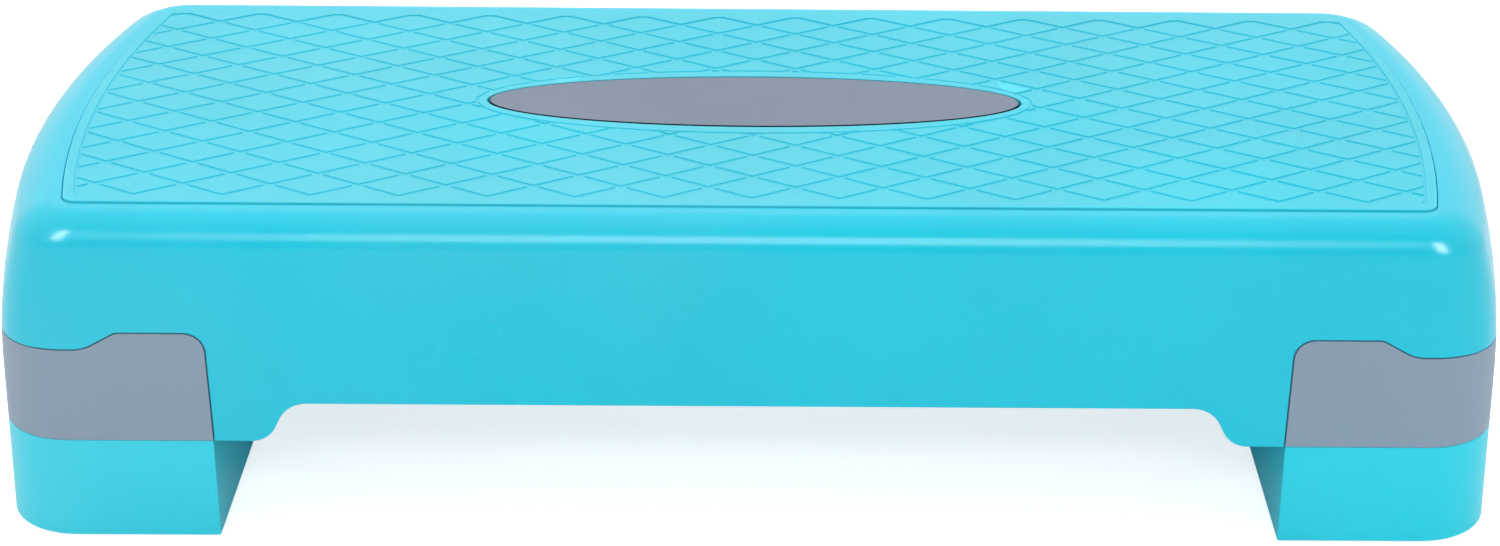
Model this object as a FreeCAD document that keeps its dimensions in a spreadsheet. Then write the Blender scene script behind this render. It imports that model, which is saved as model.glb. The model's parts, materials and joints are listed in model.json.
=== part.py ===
"""Two-level step platform: a hollow moulded deck on two removable riser feet.

Frame: X along the long side, Y from the front face to the back face, Z up.
The origin is on the floor under the middle of the deck. Lengths are in millimetres.
"""
import FreeCAD, Part
import math
import os
import Sketcher
from FreeCAD import Placement, Rotation, Vector

doc = FreeCAD.newDocument("step_platform")

# ---------------------------------------------------------------- driving dimensions
sheet = doc.addObject("Spreadsheet::Sheet", "Sizes")
DIMENSIONS = {
    # the whole platform
    "length": 680,                # widest, over the bowed ends, at floor level
    "depth": 280,                 # front face to back face, at floor level
    "height": 150,                # floor to the top of the tread
    "foot_height": 47,            # floor to the level that the deck stands on by itself
    "end_radius": 490,            # bow of the two ends, seen from above
    "corner_radius": 34,          # upright corners, seen from above
    "draft_slope": 0.031,         # how far the sides lean in for each mm of height
    "edge_radius": 14,            # round-over between the top and the sides
    "roll_start": 76,             # height where the two ends begin to curve inwards
    "roll_radius": 200,           # radius of that curve, seen from the front
    "wall": 3,                    # wall of the deck, the bands and the feet
    # arch cut in the lower edge of the front and back skirts
    "arch_rise": 18,
    "arch_reach": 207.3,          # where the lower edge starts to rise
    "arch_run": 8.9,              # how far it takes to rise
    "arch_low_radius": 11.5,
    "arch_high_radius": 13.5,
    # grip mat and its relief
    "mat_length": 607,
    "mat_depth": 232,
    "mat_end_radius": 530,
    "mat_corner_radius": 7,
    "mat_thickness": 2.5,
    "mat_proud": 1,
    "rim_end": 4.5,               # plain rim along the two bowed ends
    "rim_side": 6.7,              # the same rim along the front and the back
    "ring_end": 3.8,              # plain ring beyond the two ends of the oval
    "ring_side": 6.2,             # the same ring in front of the oval and behind it
    "edge_groove": 1.2,           # groove inside the rim at the two ends, and round the ring
    "diamond_pitch_x": 37.5,
    "diamond_pitch_y": 23,
    "channel_width": 2.6,         # between two diamonds, square to their sides
    "channel_depth": 0.6,
    # oval inlay in the middle of the mat
    "oval_length": 243,
    "oval_depth": 59,
    "oval_gap": 1.2,
    "post_radius": 3,
    "post_length": 9,
    "post_spread_x": 75,
    "post_spread_y": 12,
    # end bands
    "band_height": 42.5,
    "tab_height": 50.5,
    "tab_outer": 283.5,           # where the tab's slope ends and the band's top begins
    "tab_slope_run": 14.3,
    "tab_corner_radius": 9,
    "tab_shoulder_radius": 4,     # where the tab's top meets its slope
    "tab_foot_radius": 16,        # where the slope runs out into the band's top
    "band_inner": 231,            # inner edge of the band at its foot
    "band_lean": 1,               # how far that edge leans outwards going up
    "seam": 0.5,                  # shadow gap between deck and band
    "lip_height": 10,
    "lip_thickness": 2,
    # screws that hold each band to the deck
    "screw_radius": 2,
    "screw_length": 20,
    "screw_head_radius": 4,
    "screw_head_height": 2.6,
    "screw_in": 250,              # inner pair, measured from the middle of the deck
    "screw_out": 300,             # outer pair
    "screw_side_in": 112,
    "screw_side_out": 70,
    "tower_radius": 6.5,
    "boss_radius": 5.5,
    "tower_top": 90,
    # headed studs on each foot, in keyholes of the band's base plate
    "stud_radius": 5,
    "stud_head_radius": 9,
    "stud_head_height": 3.5,
    "stud_in": 272,
    "stud_out": 308,
    "stud_side": 48,
    "unlock_travel": 24,
    # rubber pads
    "pad_radius": 9,
    "pad_lip": 3,
    "pad_proud": 1,
    "pad_stem_radius": 6.5,
    "pad_stem_length": 6,
    "pad_in": 250,
    "pad_out": 306,
    "pad_side_in": 118,
    "pad_side_out": 98,
    "deck_pad_radius": 8,
    "deck_pad_thickness": 2.5,
    "deck_pad_at": 284,
    "deck_pad_side": 88,
    # fits and ribs
    "clearance": 0.3,
    "pilot_gap": 0.05,            # a screw in its pilot hole
    "pad_gap": 0.1,               # a rubber pad in its seat
    "nut_gap": 0.02,              # a push nut on its post
    "rib": 2.2,
    "deck_rib_depth": 12,
    "deck_rib_pitch_x": 60,
    "deck_rib_pitch_y": 50,
    "foot_rib_pitch": 46,
    "foot_rib_depth": 12,
}
for row, (alias, value) in enumerate(DIMENSIONS.items(), start=1):
    sheet.set(f"A{row}", alias)
    sheet.set(f"B{row}", str(value))
    sheet.setAlias(f"B{row}", alias)
doc.recompute()

ROLL_STEPS = 5                    # flats that stand for the curve of the ends
EDGE_STEPS = 9                    # flats that stand for the round of the top edge
SAME = 0.01                       # two places closer than this are the same place

# heights that several pieces share, as expressions of the sheet
DECK_TOP = "(Sizes.height - Sizes.mat_proud)"
MAT_FLOOR = "(Sizes.height - Sizes.mat_thickness)"
CAVITY_TOP = "(Sizes.height - Sizes.mat_thickness - Sizes.wall)"
REST_LEVEL = "Sizes.foot_height"
BAND_TOP = "(Sizes.foot_height + Sizes.band_height)"
TAB_TOP = "(Sizes.foot_height + Sizes.tab_height)"
PLATE_TOP = "(Sizes.foot_height + Sizes.wall)"
FOOT_PLATE = "(Sizes.foot_height - Sizes.wall)"
SCREW_SEAT = "(Sizes.tower_top - 2 * Sizes.wall)"
CHANNEL_FLOOR = "(Sizes.height - Sizes.channel_depth)"
ABOVE_MAT = "(Sizes.height + Sizes.wall)"


def amount(expression):
    """The number that an expression of the sheet gives."""
    result = sheet.evalExpression(str(expression))
    return float(getattr(result, "Value", result))


# ---------------------------------------------------------------- sketches and features
def new_body(name):
    return doc.addObject("PartDesign::Body", name)


def new_sketch(body, plane, level="0"):
    """A sketch on one of the body's own origin planes, moved out by level."""
    sketch = body.newObject("Sketcher::SketchObject", body.Name + "Sketch")
    support = [item for item in body.Origin.OriginFeatures if item.Role == plane]
    sketch.AttachmentSupport = (support[0], "")
    sketch.MapMode = "FlatFace"
    sketch.setExpression("AttachmentOffset.Base.z", str(level))
    return sketch


def bind(sketch, constraint, expression):
    """Adds a dimension to a sketch and ties it to the sheet."""
    index = sketch.addConstraint(constraint)
    sketch.setExpression(f"Constraints[{index}]", str(expression))


def circle(sketch, centre_x, centre_y, radius):
    """A circle whose centre and radius are expressions."""
    centre = Vector(amount(centre_x), amount(centre_y), 0)
    item = sketch.addGeometry(Part.Circle(centre, Vector(0, 0, 1), amount(radius)), False)
    bind(sketch, Sketcher.Constraint("DistanceX", -1, 1, item, 3, centre.x), centre_x)
    bind(sketch, Sketcher.Constraint("DistanceY", -1, 1, item, 3, centre.y), centre_y)
    bind(sketch, Sketcher.Constraint("Radius", item, amount(radius)), radius)


def polygon(sketch, corners):
    """A closed polygon whose corners are pairs of expressions."""
    points = [Vector(amount(x), amount(y), 0) for x, y in corners]
    sides = []
    for start, end in zip(points, points[1:] + points[:1]):
        sides.append(sketch.addGeometry(Part.LineSegment(start, end), False))
    for side, following in zip(sides, sides[1:] + sides[:1]):
        sketch.addConstraint(Sketcher.Constraint("Coincident", side, 2, following, 1))
    for side, point, (x, y) in zip(sides, points, corners):
        bind(sketch, Sketcher.Constraint("DistanceX", -1, 1, side, 1, point.x), x)
        bind(sketch, Sketcher.Constraint("DistanceY", -1, 1, side, 1, point.y), y)


def rectangle(sketch, x_low, x_high, y_low, y_high):
    polygon(sketch, [(x_low, y_low), (x_high, y_low), (x_high, y_high), (x_low, y_high)])


def bowed_outline(sketch, length, depth, end_radius, corner_radius, inset="0", roll="0"):
    """Straight front and back, bowed ends and round corners, moved in by inset; roll moves the ends in."""
    half_length = amount(f"{length} / 2 - ({inset}) - ({roll})")
    half_depth = amount(f"{depth} / 2 - ({inset})")
    bow = amount(f"{end_radius} - ({inset})")
    corner = amount(f"{corner_radius} - ({inset})")
    bow_x = half_length - bow
    corner_y = half_depth - corner
    corner_x = bow_x + math.sqrt((bow - corner) ** 2 - corner_y ** 2)
    turn = math.atan2(corner_y, corner_x - bow_x)
    right = math.pi / 2
    up = Vector(0, 0, 1)

    def line(x_start, x_end, y):
        return sketch.addGeometry(Part.LineSegment(Vector(x_start, y, 0), Vector(x_end, y, 0)), False)

    def arc(x, y, radius, start, end):
        ring = Part.Circle(Vector(x, y, 0), up, radius)
        return sketch.addGeometry(Part.ArcOfCircle(ring, start, end), False)

    front = line(-corner_x, corner_x, -half_depth)
    front_right = arc(corner_x, -corner_y, corner, -right, -turn)
    end_right = arc(bow_x, 0, bow, -turn, turn)
    back_right = arc(corner_x, corner_y, corner, turn, right)
    back = line(corner_x, -corner_x, half_depth)
    back_left = arc(-corner_x, corner_y, corner, right, math.pi - turn)
    end_left = arc(-bow_x, 0, bow, math.pi - turn, math.pi + turn)
    front_left = arc(-corner_x, -corner_y, corner, math.pi + turn, 3 * right)
    chain = [front, front_right, end_right, back_right, back, back_left, end_left, front_left]
    for piece, following in zip(chain, chain[1:] + chain[:1]):
        sketch.addConstraint(Sketcher.Constraint("Tangent", piece, 2, following, 1))
    for side in (front, back):
        sketch.addConstraint(Sketcher.Constraint("Horizontal", side))
    bind(sketch, Sketcher.Constraint("DistanceY", front, 1, -1, 1, half_depth), f"{depth} / 2 - ({inset})")
    bind(sketch, Sketcher.Constraint("DistanceY", -1, 1, back, 1, half_depth), f"{depth} / 2 - ({inset})")
    for end in (end_right, end_left):
        sketch.addConstraint(Sketcher.Constraint("PointOnObject", end, 3, -1))
        bind(sketch, Sketcher.Constraint("Radius", end, bow), f"{end_radius} - ({inset})")
    back_off = f"{end_radius} - {length} / 2 + ({roll})"
    bind(sketch, Sketcher.Constraint("DistanceX", end_right, 3, -1, 1, -bow_x), back_off)
    bind(sketch, Sketcher.Constraint("DistanceX", -1, 1, end_left, 3, -bow_x), back_off)
    for item in (front_right, back_right, back_left, front_left):
        bind(sketch, Sketcher.Constraint("Radius", item, corner), f"{corner_radius} - ({inset})")


def pad(body, sketch, length):
    """Pads a sketch upwards by an expression."""
    feature = body.newObject("PartDesign::Pad", body.Name + "Pad")
    feature.Profile = sketch
    feature.setExpression("Length", str(length))
    sketch.Visibility = False
    return feature


def pad_both_ways(body, sketch, length):
    """Pads a sketch half of length to each side of its plane."""
    feature = pad(body, sketch, length)
    feature.SideType = "Symmetric"
    return feature


def edges_where(shape, test):
    """Names of the edges of a shape that pass a test."""
    return [f"Edge{number}" for number, edge in enumerate(shape.Edges, start=1) if test(edge)]


def across_depth(x, z):
    """A test for the long edges that run from front to back at a place, or at its mirror image."""
    here_x = amount(x)
    here_z = amount(z)

    def test(edge):
        box = edge.BoundBox
        return abs(abs(box.XMin) - here_x) < SAME and abs(box.ZMin - here_z) < SAME and box.YLength > 1

    return test


def round_edges(body, base, radius, test):
    """Fillets the edges of a feature that pass a test."""
    doc.recompute()
    feature = body.newObject("PartDesign::Fillet", body.Name + "Fillet")
    feature.Base = (base, edges_where(base.Shape, test))
    feature.setExpression("Radius", str(radius))
    body.Tip = feature
    return feature


def boolean(kind, name, first, second):
    """A Part boolean of two objects: Cut, Fuse or Common."""
    result = doc.addObject(f"Part::{kind}", name)
    result.Base = first
    result.Tool = second
    return result


def cut(name, first, second):
    return boolean("Cut", name, first, second)


def common(name, first, second):
    return boolean("Common", name, first, second)


def fuse(name, *items):
    result = doc.addObject("Part::MultiFuse", name)
    result.Shapes = list(items)
    result.Refine = True
    return result


def mirror_piece(name, source):
    """The same piece on the other side of the YZ plane."""
    result = doc.addObject("Part::Mirroring", name)
    result.Source = source
    result.Normal = Vector(1, 0, 0)
    return result


def platform_section(body, inset, level, roll="0"):
    """One level of the platform's outline, leaned in by the draft, as a sketch."""
    sketch = new_sketch(body, "XY_Plane", level)
    lean = f"{inset} + Sizes.draft_slope * ({level})"
    bowed_outline(sketch, "Sizes.length", "Sizes.depth", "Sizes.end_radius", "Sizes.corner_radius",
                  lean, roll)
    return sketch


def loft_through(body, sections, ruled):
    """A solid through outlines from the lowest to the highest."""
    loft = body.newObject("PartDesign::AdditiveLoft", body.Name + "Loft")
    loft.Profile = sections[0]
    loft.Sections = sections[1:]
    loft.Ruled = ruled
    body.Tip = loft
    return body


def drafted_block(name, inset, bottom, top):
    """A block with the platform's outline, moved in by inset, whose sides lean in as they rise."""
    body = new_body(name)
    return loft_through(body, [platform_section(body, inset, level) for level in (bottom, top)], True)


def rolled_block(name, inset, bottom, top, radius):
    """A drafted block whose ends curve inwards near the top and whose top edge is rounded."""
    body = new_body(name)
    shoulder = f"({top} - ({radius}))"
    sections = [platform_section(body, inset, bottom)]
    for step in range(ROLL_STEPS + 1):
        level = f"(Sizes.roll_start + {step / ROLL_STEPS} * ({shoulder} - Sizes.roll_start))"
        sections.append(platform_section(body, inset, level, end_roll(level)))
    for step in range(1, EDGE_STEPS + 1):
        angle = math.radians(90 * step / EDGE_STEPS)
        level = f"({shoulder} + {math.sin(angle)} * ({radius}))"
        inward = f"{inset} + {1 - math.cos(angle)} * ({radius})"
        sections.append(platform_section(body, inward, level, end_roll(level)))
    return loft_through(body, sections, True)


def end_roll(level):
    """How far the curve of the ends has come in at a level above its start."""
    return f"({level} - Sizes.roll_start) ^ 2 / (2 * Sizes.roll_radius)"


def plate_with(name, plane, level, thickness, draw):
    """A body padded by thickness from one sketch, which draw fills."""
    body = new_body(name)
    sketch = new_sketch(body, plane, level)
    draw(sketch)
    pad(body, sketch, thickness)
    return body


def discs(name, spots, radius, bottom, top):
    """Upright cylinders at a list of places, from one height to another."""

    def draw(sketch):
        for x, y in spots:
            circle(sketch, x, y, radius)

    return plate_with(name, "XY_Plane", bottom, f"({top}) - ({bottom})", draw)


def front_and_back(*spots):
    """Each place, and the same place on the other side of the long middle line."""
    both = []
    for x, y in spots:
        both.append((x, f"-({y})"))
        both.append((x, y))
    return both


def both_ends(spots):
    """Each place, and the same place at the other end."""
    return spots + [(f"-({x})", y) for x, y in spots]


# places that several pieces share, for the right-hand end
SCREW_SPOTS = front_and_back(("Sizes.screw_in", "Sizes.screw_side_in"),
                             ("Sizes.screw_out", "Sizes.screw_side_out"))
STUD_SPOTS = front_and_back(("Sizes.stud_in", "Sizes.stud_side"),
                            ("Sizes.stud_out", "Sizes.stud_side"))
PAD_SPOTS = front_and_back(("Sizes.pad_in", "Sizes.pad_side_in"),
                           ("Sizes.pad_out", "Sizes.pad_side_out"))
DECK_PAD_SPOTS = front_and_back(("Sizes.deck_pad_at", "Sizes.deck_pad_side"))
POST_SPOTS = both_ends(front_and_back(("Sizes.post_spread_x", "Sizes.post_spread_y")))


# ---------------------------------------------------------------- shared cutters
def side_profile(name, gap):
    """The end band's side view, through the whole depth, grown by gap towards the deck."""
    body = new_body(name)
    sketch = new_sketch(body, "XZ_Plane")
    inner_low = f"Sizes.band_inner - ({gap})"
    inner_high = f"Sizes.band_inner + Sizes.band_lean - ({gap})"
    tab_top = f"{TAB_TOP} + ({gap})"
    band_top = f"{BAND_TOP} + ({gap})"
    shoulder = "Sizes.tab_outer - Sizes.tab_slope_run"
    beyond = "Sizes.length / 2 + Sizes.wall"
    polygon(sketch, [
        (inner_low, f"{REST_LEVEL} - ({gap})"),
        (inner_high, tab_top),
        (shoulder, tab_top),
        ("Sizes.tab_outer", band_top),
        (beyond, band_top),
        (beyond, f"{REST_LEVEL} - ({gap})"),
    ])
    padded = pad_both_ways(body, sketch, "Sizes.depth + 2 * Sizes.wall")
    cornered = round_edges(body, padded, "Sizes.tab_corner_radius", across_depth(inner_high, tab_top))
    shouldered = round_edges(body, cornered, "Sizes.tab_shoulder_radius", across_depth(shoulder, tab_top))
    round_edges(body, shouldered, "Sizes.tab_foot_radius", across_depth("Sizes.tab_outer", band_top))
    return body


def arch_cutter(name):
    """What is taken off the front and back skirts between the two ends."""
    body = new_body(name)
    sketch = new_sketch(body, "XZ_Plane")
    high = f"({REST_LEVEL} + Sizes.arch_rise)"
    below = f"({REST_LEVEL} - Sizes.wall)"
    top_reach = "(Sizes.arch_reach - Sizes.arch_run)"
    foot_reach = "(Sizes.arch_reach + Sizes.arch_low_radius)"
    right_side = [(foot_reach, below), (foot_reach, REST_LEVEL),
                  ("Sizes.arch_reach", REST_LEVEL), (top_reach, high)]
    left_side = [(f"-{x}", z) for x, z in reversed(right_side)]
    polygon(sketch, right_side + left_side)
    padded = pad_both_ways(body, sketch, "Sizes.depth + 2 * Sizes.wall")
    shoulders = round_edges(body, padded, "Sizes.arch_high_radius", across_depth(top_reach, high))
    round_edges(body, shoulders, "Sizes.arch_low_radius", across_depth("Sizes.arch_reach", REST_LEVEL))
    return body


# ---------------------------------------------------------------- deck shell
def make_deck_shell():
    outer = rolled_block("DeckOuter", "0", REST_LEVEL, DECK_TOP, "Sizes.edge_radius")
    below = f"({REST_LEVEL} - Sizes.wall)"
    inner = rolled_block("DeckInner", "Sizes.wall", below, CAVITY_TOP, "Sizes.edge_radius - Sizes.wall")
    hollow = cut("DeckHollow", outer, inner)

    clip = rolled_block("DeckClip", "Sizes.wall / 2", REST_LEVEL, f"({DECK_TOP} - Sizes.wall)",
                        "Sizes.edge_radius - Sizes.wall / 2")

    def draw_ribs(sketch):
        count_x = int(amount("(Sizes.length / 2 - Sizes.corner_radius) / Sizes.deck_rib_pitch_x"))
        for step in range(-count_x, count_x + 1):
            middle = f"({step} * Sizes.deck_rib_pitch_x)"
            rectangle(sketch, f"{middle} - Sizes.rib / 2", f"{middle} + Sizes.rib / 2",
                      "-Sizes.depth / 2", "Sizes.depth / 2")

    def draw_long_ribs(sketch):
        count_y = int(amount("(Sizes.depth / 2 - Sizes.corner_radius) / Sizes.deck_rib_pitch_y"))
        for step in range(-count_y, count_y + 1):
            middle = f"({step} * Sizes.deck_rib_pitch_y)"
            rectangle(sketch, "-Sizes.length / 2", "Sizes.length / 2",
                      f"{middle} - Sizes.rib / 2", f"{middle} + Sizes.rib / 2")

    rib_bottom = f"({CAVITY_TOP} - Sizes.deck_rib_depth)"
    rib_height = "Sizes.deck_rib_depth + Sizes.wall / 2"
    cross_ribs = plate_with("DeckCrossRibs", "XY_Plane", rib_bottom, rib_height, draw_ribs)
    long_ribs = plate_with("DeckLongRibs", "XY_Plane", rib_bottom, rib_height, draw_long_ribs)
    boss_bottom = "(Sizes.tower_top + Sizes.clearance)"
    bosses = discs("DeckBosses", both_ends(SCREW_SPOTS), "Sizes.boss_radius", boss_bottom,
                   f"{CAVITY_TOP} + Sizes.wall / 2")
    inside = [common(rib.Name + "Inside", rib, clip) for rib in (cross_ribs, long_ribs, bosses)]
    whole = fuse("DeckWhole", hollow, *inside)

    notch = side_profile("DeckNotch", "Sizes.seam")
    other_notch = mirror_piece("DeckNotchLeft", notch)
    arch = arch_cutter("DeckArch")
    recess = new_body("DeckRecess")
    recess_sketch = new_sketch(recess, "XY_Plane", MAT_FLOOR)
    bowed_outline(recess_sketch, "Sizes.mat_length", "Sizes.mat_depth", "Sizes.mat_end_radius",
                  "Sizes.mat_corner_radius", "-Sizes.clearance")
    pad(recess, recess_sketch, "Sizes.mat_thickness")
    post_holes = discs("DeckPostHoles", POST_SPOTS, "Sizes.post_radius + Sizes.clearance",
                       f"{CAVITY_TOP} - Sizes.wall", "Sizes.height")
    pilots = discs("DeckPilots", both_ends(SCREW_SPOTS), "Sizes.screw_radius + Sizes.pilot_gap",
                   f"{boss_bottom} - Sizes.wall", f"{boss_bottom} + Sizes.screw_length")
    cutters = fuse("DeckCutters", notch, other_notch, arch, recess, post_holes, pilots)
    return cut("deck_shell", whole, cutters)


# ---------------------------------------------------------------- grip mat
def channel_strips():
    """The two sets of parallel channels between the diamonds, as flat faces."""
    pitch_x = amount("Sizes.diamond_pitch_x")
    pitch_y = amount("Sizes.diamond_pitch_y")
    width = amount("Sizes.channel_width")
    reach = amount("Sizes.mat_length")
    slope = math.atan2(pitch_y, pitch_x)
    spacing = pitch_x * math.sin(slope)
    count = int(reach / spacing) + 1
    level = amount(CHANNEL_FLOOR)
    strips = []
    for side in (1, -1):
        along = Vector(math.cos(slope), side * math.sin(slope), 0)
        across = Vector(-along.y, along.x, 0)
        for step in range(-count, count):
            middle = across * ((step + 0.5) * spacing) + Vector(0, -pitch_y / 4, level)
            corners = [middle + along * reach + across * (width / 2),
                       middle - along * reach + across * (width / 2),
                       middle - along * reach - across * (width / 2),
                       middle + along * reach - across * (width / 2)]
            strips.append(Part.Face(Part.makePolygon(corners + corners[:1])))
    return strips


def ellipse_body(name, grow_x, grow_y, bottom, top):
    """An upright oval block, wider than the inlay's own oval by grow_x at each end and grow_y each side."""
    body = new_body(name)
    sketch = new_sketch(body, "XY_Plane", bottom)
    half_x = amount(f"Sizes.oval_length / 2 + ({grow_x})")
    half_y = amount(f"Sizes.oval_depth / 2 + ({grow_y})")
    shape = Part.Ellipse(Vector(half_x, 0, 0), Vector(0, half_y, 0), Vector(0, 0, 0))
    oval = sketch.addGeometry(shape, False)
    sketch.exposeInternalGeometry(oval)
    sketch.addConstraint(Sketcher.Constraint("Coincident", oval, 3, -1, 1))
    sketch.addConstraint(Sketcher.Constraint("Horizontal", oval + 1))
    bind(sketch, Sketcher.Constraint("Distance", oval + 1, 2 * half_x), f"Sizes.oval_length + 2 * ({grow_x})")
    bind(sketch, Sketcher.Constraint("Distance", oval + 2, 2 * half_y), f"Sizes.oval_depth + 2 * ({grow_y})")
    pad(body, sketch, f"({top}) - ({bottom})")
    return body


RING_END = "(Sizes.oval_gap + Sizes.ring_end)"
RING_SIDE = "(Sizes.oval_gap + Sizes.ring_side)"


def field_block(name, shorter):
    """The field of diamonds inside the mat's rim, upwards from the channels; shorter cuts its two ends."""
    body = new_body(name)
    sketch = new_sketch(body, "XY_Plane", CHANNEL_FLOOR)
    bowed_outline(sketch, f"(Sizes.mat_length - 2 * (Sizes.rim_end + ({shorter})))",
                  "(Sizes.mat_depth - 2 * Sizes.rim_side)", "(Sizes.mat_end_radius - Sizes.rim_end)",
                  "(Sizes.mat_corner_radius - Sizes.rim_end)")
    pad(body, sketch, "2 * Sizes.channel_depth")
    return body


def faces_at(shape, level):
    """The flat faces of a shape that lie at one height."""
    return [face for face in shape.Faces
            if abs(face.BoundBox.ZMax - level) < SAME and face.BoundBox.ZLength < SAME]


def make_grip_mat():
    """A rubber mat with a plain rim, a plain ring round the oval, and raised diamonds between."""
    blank = new_body("MatBlank")
    sketch = new_sketch(blank, "XY_Plane", MAT_FLOOR)
    bowed_outline(sketch, "Sizes.mat_length", "Sizes.mat_depth", "Sizes.mat_end_radius",
                  "Sizes.mat_corner_radius")
    pad(blank, sketch, "Sizes.mat_thickness")

    field = field_block("MatField", "0")
    within_ends = field_block("MatWithinEnds", "Sizes.edge_groove")
    ring = ellipse_body("MatRing", RING_END, RING_SIDE, f"{CHANNEL_FLOOR} - Sizes.wall", ABOVE_MAT)
    round_ring = ellipse_body("MatRoundRing", f"{RING_END} + Sizes.edge_groove",
                              f"{RING_SIDE} + Sizes.edge_groove", f"{CHANNEL_FLOOR} - Sizes.wall", ABOVE_MAT)
    patterned = cut("MatPatterned", field, ring)
    inner = cut("MatInner", within_ends, round_ring)
    doc.recompute()

    floor_level = amount(CHANNEL_FLOOR)
    strips = channel_strips() + faces_at(patterned.Shape.cut(inner.Shape), floor_level)
    network = strips[0].multiFuse(strips[1:]).common(faces_at(patterned.Shape, floor_level)[0])
    channels = doc.addObject("Part::Feature", "MatChannels")
    channels.Shape = network.extrude(Vector(0, 0, amount("2 * Sizes.channel_depth"))).removeSplitter()
    opening = ellipse_body("MatOpening", "Sizes.oval_gap", "Sizes.oval_gap", f"{MAT_FLOOR} - Sizes.wall",
                           ABOVE_MAT)
    plain = cut("MatPlain", blank, opening)
    return cut("grip_mat", plain, channels)


# ---------------------------------------------------------------- oval inlay and its nuts
def make_oval_inlay():
    plate = ellipse_body("InlayPlate", "0", "0", MAT_FLOOR, "Sizes.height")
    posts = discs("InlayPosts", POST_SPOTS, "Sizes.post_radius",
                  f"{MAT_FLOOR} - Sizes.post_length", MAT_FLOOR)
    return fuse("oval_inlay", plate, posts)


def make_inlay_nuts():
    """Push-on washers that grip the inlay's posts against the underside of the deck."""

    def draw(sketch):
        for x, y in POST_SPOTS:
            circle(sketch, x, y, "Sizes.post_radius + Sizes.wall")
            circle(sketch, x, y, "Sizes.post_radius + Sizes.nut_gap")

    return plate_with("inlay_push_nuts", "XY_Plane", f"{CAVITY_TOP} - Sizes.wall / 2", "Sizes.wall / 2", draw)


# ---------------------------------------------------------------- end band
def end_block(name, x_low, bottom, top):
    """A plain box that covers one end of the platform, from x_low outwards."""
    body = new_body(name)
    sketch = new_sketch(body, "XY_Plane", bottom)
    side = "(Sizes.depth / 2 + Sizes.wall)"
    rectangle(sketch, x_low, "Sizes.length / 2 + Sizes.wall", f"-{side}", side)
    pad(body, sketch, f"({top}) - ({bottom})")
    return body


def keyholes(name):
    """Keyholes of the base plate: a slot for each stud's neck and a round hole for its head."""
    body = new_body(name)
    sketch = new_sketch(body, "XY_Plane", f"{REST_LEVEL} - Sizes.wall")
    neck = "(Sizes.stud_radius + Sizes.clearance)"
    for x, y in STUD_SPOTS:
        rectangle(sketch, f"{x} - Sizes.unlock_travel", x, f"{y} - {neck}", f"{y} + {neck}")
    pad(body, sketch, "3 * Sizes.wall")
    ends = discs(name + "Ends", STUD_SPOTS, neck, f"{REST_LEVEL} - Sizes.wall", f"{PLATE_TOP} + Sizes.wall")
    heads = discs(name + "Heads", [(f"{x} - Sizes.unlock_travel", y) for x, y in STUD_SPOTS],
                  "Sizes.stud_head_radius + Sizes.clearance * 2", f"{REST_LEVEL} - Sizes.wall",
                  f"{PLATE_TOP} + Sizes.wall")
    return fuse(name + "All", body, ends, heads)


def make_end_band():
    """A tray at the right-hand end: outer wall with a tab, base plate, lip and screw towers."""
    shell = cut("BandHollow",
                rolled_block("BandOuter", "0", REST_LEVEL, DECK_TOP, "Sizes.edge_radius"),
                rolled_block("BandInner", "Sizes.wall", PLATE_TOP, CAVITY_TOP,
                             "Sizes.edge_radius - Sizes.wall"))
    wall = common("BandWall", shell, side_profile("BandProfile", "0"))

    lip_low = f"({BAND_TOP} - Sizes.lip_height)"
    lip_high = f"({TAB_TOP} + Sizes.lip_height)"
    lip_inset = "Sizes.wall + Sizes.clearance"
    lip_inner = f"({lip_inset} + Sizes.lip_thickness)"
    lip_ring = cut("BandLipRing",
                   rolled_block("BandLipOuter", lip_inset, REST_LEVEL, CAVITY_TOP,
                                f"Sizes.edge_radius - ({lip_inset})"),
                   rolled_block("BandLipInner", lip_inner, f"({REST_LEVEL} - Sizes.wall)",
                                f"({CAVITY_TOP} - Sizes.wall)", f"Sizes.edge_radius - {lip_inner}"))
    bridge = cut("BandBridgeRing",
                 drafted_block("BandBridgeOuter", "Sizes.wall / 2", lip_low, f"{lip_low} + Sizes.wall"),
                 drafted_block("BandBridgeInner", lip_inner, f"{lip_low} - Sizes.wall",
                               f"{lip_low} + 2 * Sizes.wall"))
    lip = common("BandLip", fuse("BandLipAndBridge", lip_ring, bridge),
                 end_block("BandLipEnd", "Sizes.band_inner + 2 * Sizes.band_lean", lip_low, lip_high))

    towers = discs("BandTowers", SCREW_SPOTS, "Sizes.tower_radius", f"{REST_LEVEL} + Sizes.wall / 2",
                   "Sizes.tower_top")
    whole = fuse("BandWhole", wall, lip, towers)

    wells = discs("BandWells", SCREW_SPOTS, "Sizes.screw_head_radius + Sizes.clearance",
                  f"{REST_LEVEL} - Sizes.wall", SCREW_SEAT)
    shanks = discs("BandShanks", SCREW_SPOTS, "Sizes.screw_radius + Sizes.clearance", REST_LEVEL,
                   "Sizes.tower_top + Sizes.wall")
    pad_seats = discs("BandPadSeats", DECK_PAD_SPOTS, "Sizes.deck_pad_radius + Sizes.pad_gap",
                      f"{REST_LEVEL} - Sizes.wall",
                      f"{REST_LEVEL} + Sizes.deck_pad_thickness - Sizes.pad_proud")
    openings = fuse("BandOpenings", keyholes("BandKeyholes"), wells, shanks, pad_seats)
    return cut("right_end_band", whole, openings)


def make_band_screws():
    """Four pan-head screws that go up through the towers into the deck's bosses."""
    heads = discs("ScrewHeads", SCREW_SPOTS, "Sizes.screw_head_radius",
                  f"{SCREW_SEAT} - Sizes.screw_head_height", SCREW_SEAT)
    shanks = discs("ScrewShanks", SCREW_SPOTS, "Sizes.screw_radius", SCREW_SEAT,
                   f"{SCREW_SEAT} + Sizes.screw_length")
    return fuse("right_band_screws", heads, shanks)


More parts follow.
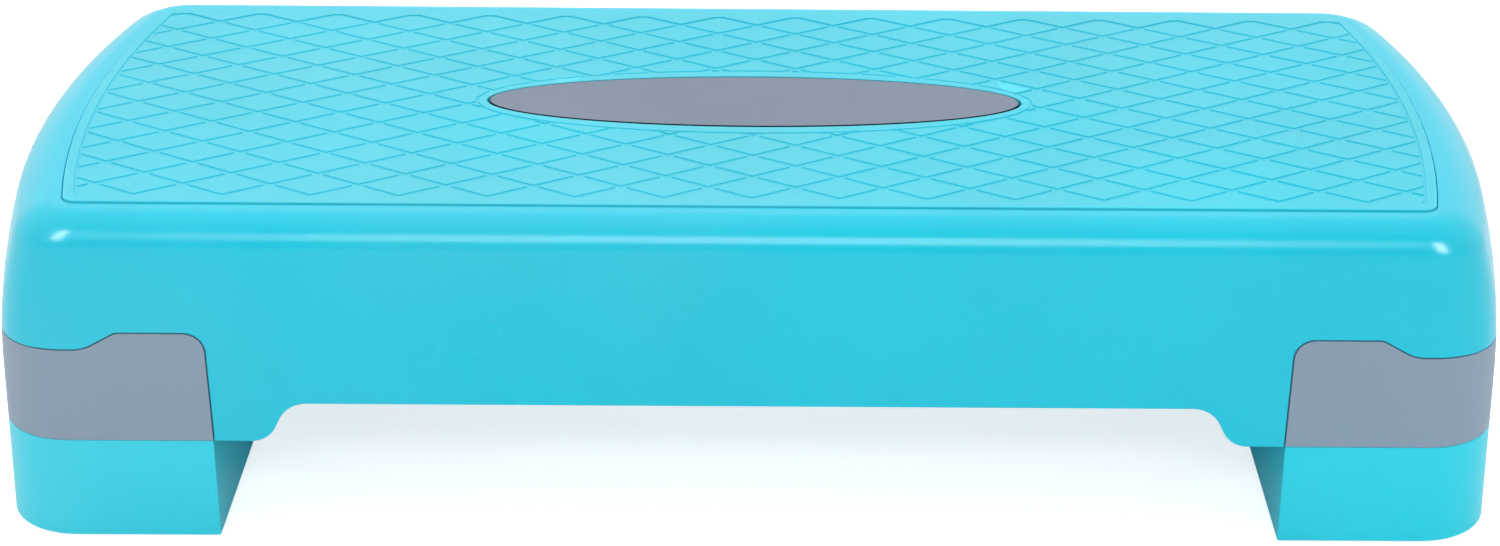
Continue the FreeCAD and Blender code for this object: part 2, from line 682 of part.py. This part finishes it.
# ---------------------------------------------------------------- riser foot
def make_foot_shell():
    """A box open at the bottom, with ribs, pad pillars and headed studs on its top plate."""
    rim = "Sizes.pad_proud"
    box = cut("FootHollow", drafted_block("FootOuter", "0", rim, REST_LEVEL),
              drafted_block("FootInner", "Sizes.wall", f"{rim} - Sizes.wall", FOOT_PLATE))
    end = common("FootEnd", box, end_block("FootEndBox", "Sizes.band_inner", rim, REST_LEVEL))

    clip = drafted_block("FootClip", "Sizes.wall / 2", rim, f"{REST_LEVEL} - Sizes.wall / 2")

    def draw_inner_wall(sketch):
        rectangle(sketch, "Sizes.band_inner", "Sizes.band_inner + Sizes.wall",
                  "-Sizes.depth / 2", "Sizes.depth / 2")

    def draw_cross_ribs(sketch):
        count = int(amount("Sizes.depth / 2 / Sizes.foot_rib_pitch"))
        for step in range(-count, count + 1):
            middle = f"({step} * Sizes.foot_rib_pitch)"
            rectangle(sketch, "Sizes.band_inner + Sizes.wall / 2", "Sizes.length / 2",
                      f"{middle} - Sizes.rib / 2", f"{middle} + Sizes.rib / 2")

    def draw_long_rib(sketch):
        middle = "(Sizes.pad_in + Sizes.pad_out) / 2"
        rectangle(sketch, f"{middle} - Sizes.rib / 2", f"{middle} + Sizes.rib / 2",
                  "-Sizes.depth / 2", "Sizes.depth / 2")

    top = f"{REST_LEVEL} - Sizes.wall / 2"
    inner_wall = plate_with("FootInnerWall", "XY_Plane", rim, f"{top} - {rim}", draw_inner_wall)
    rib_low = f"({FOOT_PLATE} - Sizes.foot_rib_depth)"
    cross_ribs = plate_with("FootCrossRibs", "XY_Plane", rib_low, f"{top} - {rib_low}", draw_cross_ribs)
    long_rib = plate_with("FootLongRib", "XY_Plane", rib_low, f"{top} - {rib_low}", draw_long_rib)
    pillars = discs("FootPillars", PAD_SPOTS, "Sizes.pad_radius + Sizes.rib", rim, top)
    wall_clip = common("FootWallClip", inner_wall, drafted_block("FootWallEnds", "0", rim, REST_LEVEL))
    inside = [common(rib.Name + "Inside", rib, clip) for rib in (cross_ribs, long_rib, pillars)]
    necks = discs("FootNecks", STUD_SPOTS, "Sizes.stud_radius", f"{REST_LEVEL} - Sizes.wall / 2",
                  f"{PLATE_TOP} + Sizes.clearance")
    heads = discs("FootStudHeads", STUD_SPOTS, "Sizes.stud_head_radius", f"{PLATE_TOP} + Sizes.clearance",
                  f"{PLATE_TOP} + Sizes.clearance + Sizes.stud_head_height")
    whole = fuse("FootWhole", end, wall_clip, *inside, necks, heads)

    seats = discs("FootPadSeats", PAD_SPOTS, "Sizes.pad_radius + Sizes.pad_gap", f"{rim} - Sizes.wall",
                  f"{rim} + Sizes.pad_lip")
    cores = discs("FootPillarCores", PAD_SPOTS, "Sizes.pad_stem_radius + Sizes.pad_gap", rim, FOOT_PLATE)
    groove = new_body("FootGrooves")
    groove_sketch = new_sketch(groove, "XY_Plane", f"{REST_LEVEL} - Sizes.pad_proud - Sizes.clearance")
    half = "(Sizes.deck_pad_radius + 2 * Sizes.clearance)"
    for x, y in DECK_PAD_SPOTS:
        rectangle(groove_sketch, f"{x} - {half}", f"{x} + {half} + Sizes.unlock_travel",
                  f"{y} - {half}", f"{y} + {half}")
    pad(groove, groove_sketch, "2 * Sizes.pad_proud + Sizes.clearance")
    openings = fuse("FootOpenings", seats, cores, groove)
    return cut("right_foot_shell", whole, openings)


def floor_pad(name, spot):
    """A rubber pad with a stem that pushes up into a pillar of the foot."""
    top = "(Sizes.pad_proud + Sizes.pad_lip)"
    disc = discs(name + "Disc", [spot], "Sizes.pad_radius", "0", top)
    stem = discs(name + "Stem", [spot], "Sizes.pad_stem_radius", top, f"{top} + Sizes.pad_stem_length")
    return fuse(name, disc, stem)


def deck_pad(name, spot):
    """A rubber disc let into the band's base plate, for use without the feet."""
    bottom = f"({REST_LEVEL} - Sizes.pad_proud)"
    return discs(name, [spot], "Sizes.deck_pad_radius", bottom, f"{bottom} + Sizes.deck_pad_thickness")


# ---------------------------------------------------------------- the pieces
pieces = {}


def keep(piece, label):
    piece.Label = label
    pieces[label] = piece


def keep_both_sides(right_piece, label):
    """Keeps a right-hand piece and its mirror image at the left-hand end."""
    keep(right_piece, f"right_{label}")
    keep(mirror_piece(f"left_{label}", right_piece), f"left_{label}")


keep(make_deck_shell(), "deck_shell")
keep(make_grip_mat(), "grip_mat")
keep(make_oval_inlay(), "oval_inlay")
keep(make_inlay_nuts(), "inlay_push_nuts")
keep_both_sides(make_end_band(), "end_band")
keep_both_sides(make_band_screws(), "band_screws")
keep_both_sides(make_foot_shell(), "foot_shell")
for place, spot in zip(("front_inner", "back_inner", "front_outer", "back_outer"), PAD_SPOTS):
    keep_both_sides(floor_pad(f"Pad_{place}", spot), f"{place}_floor_pad")
for place, spot in zip(("front", "back"), DECK_PAD_SPOTS):
    keep_both_sides(deck_pad(f"DeckPad_{place}", spot), f"{place}_deck_pad")

doc.recompute()

# ---------------------------------------------------------------- checks and output
for item in doc.Objects:
    if "Invalid" in item.State or "Error" in item.State:
        raise RuntimeError(f"{item.Label} failed: {item.State}")
os.makedirs("parts", exist_ok=True)
for label, piece in pieces.items():
    shape = piece.Shape
    if shape.isNull() or not shape.isValid():
        raise RuntimeError(f"{label} has no valid shape")
    solids = len(shape.Solids)
    print(f"{label}: {solids} solid(s), {shape.Volume / 1000:.2f} cm3")
for label, piece in pieces.items():
    piece.Shape.exportStep(f"parts/{label}.step")
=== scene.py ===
# %% [markdown]
# # A two-level step platform
#
# The real object is a hollow plastic deck, bowed at both ends, that stands on two riser feet.
# Its sizes and joints are fixed already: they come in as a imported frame, one mesh for each
# piece, in metres, with +X along the long side, +Y to the back and +Z up.
# Blender's job here is the finish: soft moulded edges, the matte tread, satin plastics,
# studio light and the camera.

# %% Load the frame
import json
import math

import bmesh
import bpy
from mathutils import Matrix, Vector

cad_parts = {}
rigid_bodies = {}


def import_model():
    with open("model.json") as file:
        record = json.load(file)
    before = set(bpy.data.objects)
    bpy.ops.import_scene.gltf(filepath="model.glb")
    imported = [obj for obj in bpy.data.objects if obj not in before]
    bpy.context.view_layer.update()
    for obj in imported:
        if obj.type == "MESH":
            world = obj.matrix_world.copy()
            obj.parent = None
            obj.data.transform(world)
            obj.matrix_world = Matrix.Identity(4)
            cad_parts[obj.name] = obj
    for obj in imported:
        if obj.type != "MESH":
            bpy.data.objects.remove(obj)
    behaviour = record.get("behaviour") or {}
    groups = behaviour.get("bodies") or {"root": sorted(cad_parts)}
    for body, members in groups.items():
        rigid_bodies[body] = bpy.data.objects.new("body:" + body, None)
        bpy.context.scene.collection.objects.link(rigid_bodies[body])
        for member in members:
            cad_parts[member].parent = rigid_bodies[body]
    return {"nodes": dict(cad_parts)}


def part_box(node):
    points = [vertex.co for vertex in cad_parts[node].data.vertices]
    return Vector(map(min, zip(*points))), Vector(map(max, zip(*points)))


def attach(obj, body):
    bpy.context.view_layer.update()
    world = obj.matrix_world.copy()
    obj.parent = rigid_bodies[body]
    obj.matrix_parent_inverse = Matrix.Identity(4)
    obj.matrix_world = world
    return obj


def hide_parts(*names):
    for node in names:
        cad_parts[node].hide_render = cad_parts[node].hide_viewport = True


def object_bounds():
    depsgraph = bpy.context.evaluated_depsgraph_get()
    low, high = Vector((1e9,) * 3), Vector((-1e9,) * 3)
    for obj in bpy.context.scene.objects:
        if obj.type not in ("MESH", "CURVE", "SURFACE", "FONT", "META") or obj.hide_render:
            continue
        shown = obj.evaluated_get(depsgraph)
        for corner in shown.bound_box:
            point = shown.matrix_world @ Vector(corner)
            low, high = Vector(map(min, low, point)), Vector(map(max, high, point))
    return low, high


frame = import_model()
cad_low, cad_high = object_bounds()
SIDES = ("left", "right")
print("pieces:", len(frame["nodes"]))
print("size in metres:", [round(v, 4) for v in cad_high - cad_low])

# %% [markdown]
# ## The platform's outer form
#
# Deck, bands and feet share one skin: straight front and back, a wide bow at each end, round
# corners, and sides that lean in a little as they rise so that the part leaves its mould.
# To find which edges lie on that skin we need the outline as a formula. An offset outline is
# handy: the inset of a point is how far inside the floor-level outline it lies.

# %% Measure the skin
MILLIMETRE = 0.001
PLATFORM = {"half_length": 0.340, "half_depth": 0.140, "bow": 0.490, "corner": 0.034}
LEAN = 0.031
SKIN_DEPTH = 0.25 * MILLIMETRE
AT_LEVEL = 0.05 * MILLIMETRE
TREAD_TOP = cad_high.z


def inset_of(point, half_length, half_depth, bow, corner):
    """How far inside a bowed outline a point lies, seen from above."""
    x, y = abs(point.x), abs(point.y)
    bow_x = half_length - bow
    corner_y = half_depth - corner
    corner_x = bow_x + math.sqrt((bow - corner) ** 2 - corner_y ** 2)
    if x <= corner_x:
        return half_depth - y
    if y * (corner_x - bow_x) <= corner_y * (x - bow_x):
        return bow - math.hypot(x - bow_x, y)
    return corner - math.hypot(x - corner_x, y - corner_y)


def on_skin(point):
    """True on the leaning sides, below the curve of the top."""
    return abs(inset_of(point, **PLATFORM) - LEAN * point.z) < SKIN_DEPTH


front_middle = Vector((0, -PLATFORM["half_depth"], 0))
print("inset at the middle of the front edge:", round(inset_of(front_middle, **PLATFORM), 5))

# %% [markdown]
# ## Soft edges for moulded parts
#
# No moulded plastic edge is truly sharp: the tool leaves a radius of a few tenths of a
# millimetre, and that radius is what catches the light along every seam. A Bevel modifier
# would round every edge, also deep between the ribs where it only costs faces.
# So each moulded piece gets a copy of its frame mesh, the flat triangles are merged into
# whole faces, and bmesh bevels just the edges that are picked by a test.
# Faces are then smooth-shaded, edges that still turn sharply stay crisp, and weighted
# normals keep the large flat faces looking flat.

# %% A helper that rounds chosen edges
SHARP = math.radians(26)
FLAT = math.radians(0.05)


def turns_sharply(edge):
    return len(edge.link_faces) == 2 and edge.calc_face_angle(0) > SHARP


def both_ends(edge, test):
    """True if both ends of an edge pass a test of their place."""
    return all(test(vert.co) for vert in edge.verts)


def soften(node, name, body, *rounds, merge=0.002 * MILLIMETRE):
    """A copy of a frame piece that stands for it. Each round is a test for edges and a radius."""
    mesh = bpy.data.meshes.new(name)
    work = bmesh.new()
    work.from_mesh(frame["nodes"][node].data)
    bmesh.ops.remove_doubles(work, verts=work.verts, dist=merge)
    bmesh.ops.dissolve_limit(work, angle_limit=FLAT, verts=work.verts, edges=work.edges)
    rounded = 0
    for pick, radius in rounds:
        chosen = [edge for edge in work.edges if turns_sharply(edge) and pick(edge)]
        bmesh.ops.bevel(work, geom=chosen, offset=radius, segments=3, profile=0.5,
                        affect="EDGES", clamp_overlap=False, harden_normals=False)
        rounded += len(chosen)
    for face in work.faces:
        face.smooth = True
        face.material_index = 0
    for edge in work.edges:
        edge.smooth = not turns_sharply(edge)
    plain = bmesh.new()
    twin = {vert: plain.verts.new(vert.co) for vert in work.verts}
    for face in work.faces:
        copy = plain.faces.new([twin[vert] for vert in face.verts])
        copy.smooth = True
    for edge in work.edges:
        same = plain.edges.get([twin[vert] for vert in edge.verts])
        if same:
            same.smooth = edge.smooth
    plain.to_mesh(mesh)
    work.free()
    plain.free()
    piece = bpy.data.objects.new(name, mesh)
    bpy.context.scene.collection.objects.link(piece)
    weighted = piece.modifiers.new("even shading", "WEIGHTED_NORMAL")
    weighted.keep_sharp = True
    weighted.weight = 90
    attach(piece, body)
    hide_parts(node)
    print(name, "rounded edges:", rounded, "faces:", len(mesh.polygons))
    return piece


# %% [markdown]
# ## Plastics
#
# The deck is polypropylene with a satin gloss. Coloured plastic is never one flat colour:
# the pigment swirls a little as it flows, the surface carries a very fine orange peel from
# the tool, and edges and tops get scuffed. All of that is built from noise at real scales,
# in object coordinates, so that it stays put on the part.
# One function builds every plastic here. What is the same all over, such as the specular
# level, is set on the shader's own sockets; only colour, roughness and bump vary.

# %% A plastic with grain, flow and scuffs


def plastic(name, colour, roughness, flow=0.03, grain_size=0.4, grain_height=0.004,
            scuff=0.10, specular=0.5):
    """Moulded plastic. grain_size and grain_height are in millimetres."""
    material = bpy.data.materials.new(name)
    material.use_nodes = True
    nodes, links = material.node_tree.nodes, material.node_tree.links
    shader = nodes["Principled BSDF"]
    shader.inputs["Specular IOR Level"].default_value = specular
    place = nodes.new("ShaderNodeTexCoord")

    def noise(scale, detail, rough):
        texture = nodes.new("ShaderNodeTexNoise")
        texture.inputs["Scale"].default_value = scale
        texture.inputs["Detail"].default_value = detail
        texture.inputs["Roughness"].default_value = rough
        links.new(place.outputs["Object"], texture.inputs["Vector"])
        return texture.outputs["Fac"]

    def remap(value, low, high, start=0.3, end=0.7):
        step = nodes.new("ShaderNodeMapRange")
        step.inputs["From Min"].default_value = start
        step.inputs["From Max"].default_value = end
        step.inputs["To Min"].default_value = low
        step.inputs["To Max"].default_value = high
        links.new(value, step.inputs["Value"])
        return step.outputs["Result"]

    pigment = nodes.new("ShaderNodeHueSaturation")
    pigment.inputs["Color"].default_value = (*colour, 1)
    links.new(remap(noise(9, 3, 0.5), 1 - flow, 1 + flow), pigment.inputs["Value"])
    links.new(remap(noise(4, 2, 0.5), 1 - flow, 1 + flow), pigment.inputs["Saturation"])
    links.new(pigment.outputs["Color"], shader.inputs["Base Color"])

    scuffs = remap(noise(60, 6, 0.75), 0, scuff, 0.5, 0.75)
    sheen = nodes.new("ShaderNodeMath")
    sheen.operation = "ADD"
    links.new(remap(noise(14, 4, 0.6), roughness - 0.03, roughness + 0.03), sheen.inputs[0])
    links.new(scuffs, sheen.inputs[1])
    links.new(sheen.outputs["Value"], shader.inputs["Roughness"])

    bump = nodes.new("ShaderNodeBump")
    bump.inputs["Strength"].default_value = 1
    bump.inputs["Distance"].default_value = grain_height * MILLIMETRE
    links.new(noise(1 / (grain_size * MILLIMETRE), 2, 0.5), bump.inputs["Height"])
    links.new(bump.outputs["Normal"], shader.inputs["Normal"])
    return material


CHANNEL_DEPTH = 0.6 * MILLIMETRE
# Base-colour tones by height: painted shade on the channel floors, painted highlight on the walls and
# rounded edges, and a darker top beside that highlight.
PAINTED_CHANNEL_SHADE, PAINTED_HIGHLIGHT_TONE, PAINTED_DARKER_TOP = 0.85, 1.0, 0.86


def paint_channel_shade_and_edge_highlight(material, top):
    """Painted shade darkens the channels, and a painted highlight keeps the walls and rounded edges just
    under the top paler than the darker top.
    """
    nodes, links = material.node_tree.nodes, material.node_tree.links
    height = nodes.new("ShaderNodeSeparateXYZ")
    links.new(nodes["Texture Coordinate"].outputs["Object"], height.inputs["Vector"])
    below = nodes.new("ShaderNodeMapRange")
    below.inputs["From Min"].default_value = top - CHANNEL_DEPTH
    below.inputs["From Max"].default_value = top
    links.new(height.outputs["Z"], below.inputs["Value"])
    tone = nodes.new("ShaderNodeValToRGB")
    ramp = tone.color_ramp.elements
    ramp[0].position, ramp[0].color = 0.1, (PAINTED_CHANNEL_SHADE, PAINTED_CHANNEL_SHADE, PAINTED_CHANNEL_SHADE, 1)
    ramp[1].position, ramp[1].color = 0.5, (PAINTED_HIGHLIGHT_TONE, PAINTED_HIGHLIGHT_TONE, PAINTED_HIGHLIGHT_TONE, 1)
    for position, grey in ((0.95, PAINTED_HIGHLIGHT_TONE), (1.0, PAINTED_DARKER_TOP)):
        ramp.new(position).color = (grey, grey, grey, 1)
    links.new(below.outputs["Result"], tone.inputs["Fac"])
    blend = nodes.new("ShaderNodeMix")
    blend.data_type = "RGBA"
    blend.blend_type = "MULTIPLY"
    blend.inputs["Factor"].default_value = 1
    shader = nodes["Principled BSDF"]
    links.new(shader.inputs["Base Color"].links[0].from_socket, blend.inputs["A"])
    links.new(tone.outputs["Color"], blend.inputs["B"])
    links.new(blend.outputs["Result"], shader.inputs["Base Color"])


def linear(red, green, blue):
    """A colour given the way a screen shows it, turned into the linear values shaders use."""
    return tuple((v / 12.92) if v <= 0.04045 else ((v + 0.055) / 1.055) ** 2.4
                 for v in (red, green, blue))


SKY_CYAN = linear(0.02, 0.79, 0.89)
FOOT_CYAN = linear(0.135, 0.845, 0.93)
TREAD_CYAN = linear(0.285, 0.862, 0.942)
BAND_GREY = linear(0.535, 0.612, 0.691)
INLAY_GREY = linear(0.469, 0.519, 0.595)
# Painted shade: the dark navy on the inlay's side walls stands in for the shadow in its gap.
GAP_SHADE_NAVY = linear(0.02, 0.10, 0.17)
deck_plastic = plastic("satin cyan plastic", SKY_CYAN, 0.24, grain_size=0.8, grain_height=0.004,
                       scuff=0.02, specular=0.4)
foot_plastic = plastic("satin foot plastic", FOOT_CYAN, 0.30, grain_size=0.8, grain_height=0.006,
                       scuff=0.05)
tread_plastic = plastic("matte tread", TREAD_CYAN, 0.48, flow=0.04, grain_size=0.35,
                        grain_height=0.015, scuff=0.12)
band_plastic = plastic("satin grey plastic", BAND_GREY, 0.42, grain_size=0.5, grain_height=0.008,
                       scuff=0.10)
inlay_plastic = plastic("grained grey plate", INLAY_GREY, 0.55, grain_size=0.5, grain_height=0.05,
                        scuff=0.05)
# Painted shade for the inlay's side walls, where the gap is in shadow.
painted_gap_shade = plastic("painted gap shade", GAP_SHADE_NAVY, 0.6, specular=0.2)
print("plastics:", [material.name for material in bpy.data.materials if "plastic" in material.name])

# %% [markdown]
# ## The deck
#
# One large moulding: the top, the skirts and the ribs underneath. Light runs along the lower
# edges of the skirts, round the arch and along the notches for the bands, so those edges are
# rounded, together with the lip of the shallow tray that holds the tread.

# %% Deck shell
DECK_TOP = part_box("deck_shell")[1].z
LOWER_PART = 0.1


def deck_edge(edge):
    on_lip = both_ends(edge, lambda place: place.z > DECK_TOP - AT_LEVEL)
    return on_lip or both_ends(edge, lambda place: on_skin(place) and place.z < LOWER_PART)


deck = soften("deck_shell", "deck_skin", "deck", (deck_edge, 0.5 * MILLIMETRE))
deck.data.materials.append(deck_plastic)

# %% [markdown]
# ## The tread
#
# The tread is a separate soft-touch mat. Diamonds stand about a millimetre above the channels
# between them, and run into a plain rim and into a ring round the oval. Their top edges are
# eased, or they would cut bare feet; that easing draws a pale line along each diamond, and
# a painted highlight on the edges with painted shade in the channels strengthens the lines.
# The small cut-off tops and the last row at the back stay crisp: their edges meet at points
# too thin to take a radius, and a bevel folds there.

# %% Grip mat


def at_tread_top(edge):
    return both_ends(edge, lambda place: place.z > TREAD_TOP - AT_LEVEL)


mat_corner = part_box("grip_mat")[1]
MAT = {"half_length": mat_corner.x, "half_depth": mat_corner.y, "bow": 0.530, "corner": 0.007}
SMALLEST_TOP = 20 * MILLIMETRE ** 2
LAST_ROW = MAT["half_depth"] - 11 * MILLIMETRE
PAST_BORDER = 2 * MILLIMETRE
BORDER_ROUND, DIAMOND_ROUND = 0.9 * MILLIMETRE, 0.3 * MILLIMETRE


def mat_border(edge):
    at_rim = both_ends(edge, lambda place: inset_of(place, **MAT) < 0.3 * MILLIMETRE)
    return at_tread_top(edge) and at_rim


def diamond_edge(edge):
    tops = [face.calc_area() for face in edge.link_faces if face.normal.z > 0.9]
    inside = both_ends(edge, lambda place: inset_of(place, **MAT) > PAST_BORDER and place.y < LAST_ROW)
    return at_tread_top(edge) and inside and max(tops, default=0) > SMALLEST_TOP


mat = soften("grip_mat", "tread_mat", "deck", (mat_border, BORDER_ROUND),
             (diamond_edge, DIAMOND_ROUND), merge=0.25 * MILLIMETRE)
mat.data.materials.append(tread_plastic)
# Painted shade in the channels and a painted highlight on the diamond walls and edges.
paint_channel_shade_and_edge_highlight(tread_plastic, TREAD_TOP)

# %% [markdown]
# ## The oval inlay
#
# A flat plate with a grained grey face, clipped in with a narrow gap all round. Its side
# walls carry a painted shade of dark navy, so the gap draws a thin dark line round the oval.
# Faces that point up get the grey finish and the others the painted shade, which is the second slot.

# %% Oval inlay
inlay = soften("oval_inlay", "inlay_plate", "deck", (at_tread_top, 0.3 * MILLIMETRE))
inlay.data.materials.append(inlay_plastic)
inlay.data.materials.append(painted_gap_shade)
# Side faces take the painted shade of the gap, up faces the grey finish.
POINTS_UP = 0.97
for face in inlay.data.polygons:
    face.material_index = 0 if face.normal.z > POINTS_UP else 1
print("grey faces:", sum(face.material_index == 0 for face in inlay.data.polygons))

# %% [markdown]
# ## Bands and feet
#
# The bands and the feet finish flush with the deck, so each seam is two small radii side by
# side with a dark line between them.

# %% End bands and riser feet


def seam_edge(edge):
    return both_ends(edge, on_skin)


BAND_ROUND, FOOT_ROUND = 0.6 * MILLIMETRE, 0.45 * MILLIMETRE
INNER_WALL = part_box("right_foot_shell")[0].x + AT_LEVEL


def foot_edge(edge):
    return seam_edge(edge) or both_ends(edge, lambda place: abs(place.x) < INNER_WALL)


for side in SIDES:
    band = soften(f"{side}_end_band", f"{side}_band_skin", "deck", (seam_edge, BAND_ROUND))
    band.data.materials.append(band_plastic)
    foot = soften(f"{side}_foot_shell", f"{side}_foot_skin", f"{side}_foot", (foot_edge, FOOT_ROUND))
    foot.data.materials.append(foot_plastic)

# %% [markdown]
# ## Rubber and steel
#
# The pads are black rubber with a dusty bloom. The screws and push-on washers are zinc
# plated, a bright metal that is slightly uneven. Their shapes are right in the frame already,
# so they only get a finish.

# %% Pads, screws and washers


def zinc_plate(name):
    """Bright zinc: metallic, with a patchy roughness."""
    material = plastic(name, linear(0.78, 0.79, 0.82), 0.30, flow=0.06, grain_size=0.3,
                       grain_height=0.003)
    material.node_tree.nodes["Principled BSDF"].inputs["Metallic"].default_value = 1.0
    return material


rubber = plastic("black rubber", linear(0.12, 0.12, 0.13), 0.75, flow=0.15, grain_size=0.25,
                 grain_height=0.03, specular=0.3)
zinc = zinc_plate("zinc plate")
for node, piece in frame["nodes"].items():
    if node.endswith("_pad"):
        piece.data.materials.clear()
        piece.data.materials.append(rubber)
    elif node.endswith("_screws") or node.endswith("_nuts"):
        piece.data.materials.clear()
        piece.data.materials.append(zinc)
print("rubber pads:", sum(node.endswith("_pad") for node in frame["nodes"]))

# %% [markdown]
# ## Studio
#
# A plain white floor and a white surround, brighter behind and dimmer in front, so that the
# tread mirrors something pale and the front keeps its colour. A wide panel above lights the tops. It
# is hidden from mirror rays, or its edge would draw a second band along the rounded front.
# A long strip in front gives the one soft highlight there, and two small soft boxes give the
# bright spots at the front corners. Light linking keeps those three off the matte tread and
# the oval plate, where they would show as a white glare from behind. The floor
# glows a little by itself, which thins the shadow, and another link keeps that glow off the
# platform.

# %% Floor, light panels and surround
FLOOR_HALF = 6.0
floor_mesh = bpy.data.meshes.new("floor")
floor_mesh.from_pydata([(-FLOOR_HALF, -FLOOR_HALF, 0), (FLOOR_HALF, -FLOOR_HALF, 0),
                        (FLOOR_HALF, FLOOR_HALF, 0), (-FLOOR_HALF, FLOOR_HALF, 0)], [], [(0, 1, 2, 3)])
floor = bpy.data.objects.new("floor", floor_mesh)
bpy.context.scene.collection.objects.link(floor)
paper = bpy.data.materials.new("white paper")
paper.use_nodes = True
paper_shader = paper.node_tree.nodes["Principled BSDF"]
paper_shader.inputs["Base Color"].default_value = (0.93, 0.93, 0.93, 1)
paper_shader.inputs["Roughness"].default_value = 0.9
paper_shader.inputs["Emission Color"].default_value = (1, 1, 1, 1)
paper_shader.inputs["Emission Strength"].default_value = 0.70
floor_mesh.materials.append(paper)
own_glow = bpy.data.collections.new("lit by the floor")
own_glow.objects.link(floor)
floor.light_linking.receiver_collection = own_glow

surround = bpy.data.worlds.new("white surround")
surround.use_nodes = True
sky, sky_links = surround.node_tree.nodes, surround.node_tree.links
direction = sky.new("ShaderNodeTexCoord")
parts = sky.new("ShaderNodeSeparateXYZ")
fade = sky.new("ShaderNodeMapRange")
for socket, value in (("From Min", -0.6), ("From Max", 0.1), ("To Min", 0.45), ("To Max", 1.08)):
    fade.inputs[socket].default_value = value
sky_links.new(direction.outputs["Generated"], parts.inputs["Vector"])
sky_links.new(parts.outputs["Y"], fade.inputs["Value"])
sky_links.new(fade.outputs["Result"], sky["Background"].inputs["Strength"])
sky["Background"].inputs["Color"].default_value = (1, 1, 1, 1)
bpy.context.scene.world = surround


def light_panel(name, place, target, width, height, power):
    """A soft rectangular lamp that faces a point."""
    lamp = bpy.data.lights.new(name, "AREA")
    lamp.shape = "RECTANGLE"
    lamp.size = width
    lamp.size_y = height
    lamp.energy = power
    panel = bpy.data.objects.new(name, lamp)
    panel.location = place
    panel.rotation_euler = (Vector(target) - Vector(place)).to_track_quat("-Z", "Y").to_euler()
    bpy.context.scene.collection.objects.link(panel)
    return panel


middle = (cad_low + cad_high) / 2
overhead = light_panel("top panel", (0, 0.1, 2.0), middle, 2.4, 1.8, 8.3)
overhead.visible_glossy = False
front = light_panel("front fill", (0, -1.75, 1.3), middle, 1.15, 0.3, 9)
front.visible_glossy = False
highlights = (("front strip", (0, -1.75, 1.3), 1.15, 0.6, 17),
              ("left softbox", (-1.53, -1.51, 1.45), 0.55, 1.1, 34),
              ("right softbox", (1.57, -1.63, 1.05), 0.55, 1.1, 34))
glossy_parts = bpy.data.collections.new("lit by the highlight lamps")
for piece in bpy.data.objects:
    if piece.type == "MESH" and piece not in (mat, inlay):
        glossy_parts.objects.link(piece)
for name, place, width, height, power in highlights:
    lamp = light_panel(name, place, middle, width, height, power)
    lamp.visible_diffuse = False
    lamp.light_linking.receiver_collection = glossy_parts

# %% [markdown]
# ## Camera
#
# A product shot from the front, a little above: the camera looks down by about 25 degrees
# from a bit over a metre away, with a lens of about 70 mm, so the far end of the tread is
# only slightly narrower than the near end.

# %% Camera
LOOK_DOWN = math.radians(25.63)
TURN = math.radians(-0.76)
TILT = math.radians(0.70)
lens = bpy.data.cameras.new("product lens")
lens.sensor_width = 36
lens.lens = 69.0
lens.shift_x = -0.0447
camera = bpy.data.objects.new("camera", lens)
camera.location = (0.0134, -1.2244, 0.6501)
level = Matrix.Rotation(math.pi / 2 - LOOK_DOWN, 3, "X")
camera.rotation_euler = (Matrix.Rotation(TURN, 3, "Z") @ level @ Matrix.Rotation(TILT, 3, "Z")).to_euler()
bpy.context.scene.collection.objects.link(camera)
bpy.context.scene.camera = camera
bpy.context.scene.view_settings.view_transform = "Standard"
